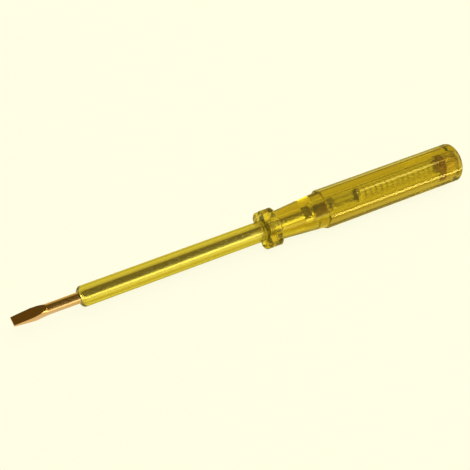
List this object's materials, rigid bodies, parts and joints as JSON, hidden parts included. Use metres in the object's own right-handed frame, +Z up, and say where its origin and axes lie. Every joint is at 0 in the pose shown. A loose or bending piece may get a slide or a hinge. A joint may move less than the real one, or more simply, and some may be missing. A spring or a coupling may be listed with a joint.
{
  "type": "voltage tester screwdriver",
  "caption": "Slim neon voltage tester screwdriver: flat blade in a clear sleeve, lugged anti-roll collar and octagonal clear grip holding resistor, lamp, spring and end screw.",
  "frame": {"origin": "under the middle of the tool's length, on the surface that it lies on", "axes": "+X from the blade's tip to the rear of the grip, +Z up"},
  "size_m": [0.15, 0.0122, 0.0118],
  "materials": {
    "handle_plastic": "clear, olive-yellow, polished",
    "sleeve_plastic": "clear, yellow, polished",
    "blade_steel": "nickel-plated, warm, with fine marks",
    "ceramic": "matt ceramic",
    "resistor_lacquer": "brown lacquer with colour bands",
    "plated_cap": "tin-plated, satin",
    "lamp_glass": "clear",
    "electrode_nickel": "satin nickel",
    "spring_steel": "drawn wire",
    "disc_copper": "copper, satin",
    "ring_fibre": "red-brown vulcanised fibre",
    "insert_brass": "turned and knurled",
    "screw_brass": "turned"
  },
  "bodies": {
    "tool": {"handle": "handle_plastic", "blade": "blade_steel", "insulating_sleeve": "sleeve_plastic", "resistor_core": "ceramic", "resistor_coat": "resistor_lacquer", "resistor_front_cap": "plated_cap", "resistor_rear_cap": "plated_cap", "lamp_glass": "lamp_glass", "lamp_front_cap": "plated_cap", "lamp_rear_cap": "plated_cap", "lamp_front_electrode": "electrode_nickel", "lamp_rear_electrode": "electrode_nickel", "contact_spring": "spring_steel", "insert_ring": "ring_fibre", "threaded_insert": "insert_brass"},
    "contact": {"contact_disc": "disc_copper"},
    "screw": {"end_screw": "screw_brass"}
  },
  "joints": [
    {"name": "contact_travel", "type": "slide", "parent": "tool", "child": "contact", "axis": [1, 0, 0], "range_m": [0, 0.0015], "deforming": ["contact_spring"]},
    {"name": "end_screw_turn", "type": "hinge", "parent": "contact", "child": "screw", "pos_m": [0.0745, 0, 0.0059], "axis": [1, 0, 0], "range_deg": [0, 1080]}
  ],
  "couplings": [
    {"joint": "end_screw_turn", "follows": "contact_travel", "rad_per_m": 12566}
  ]
}
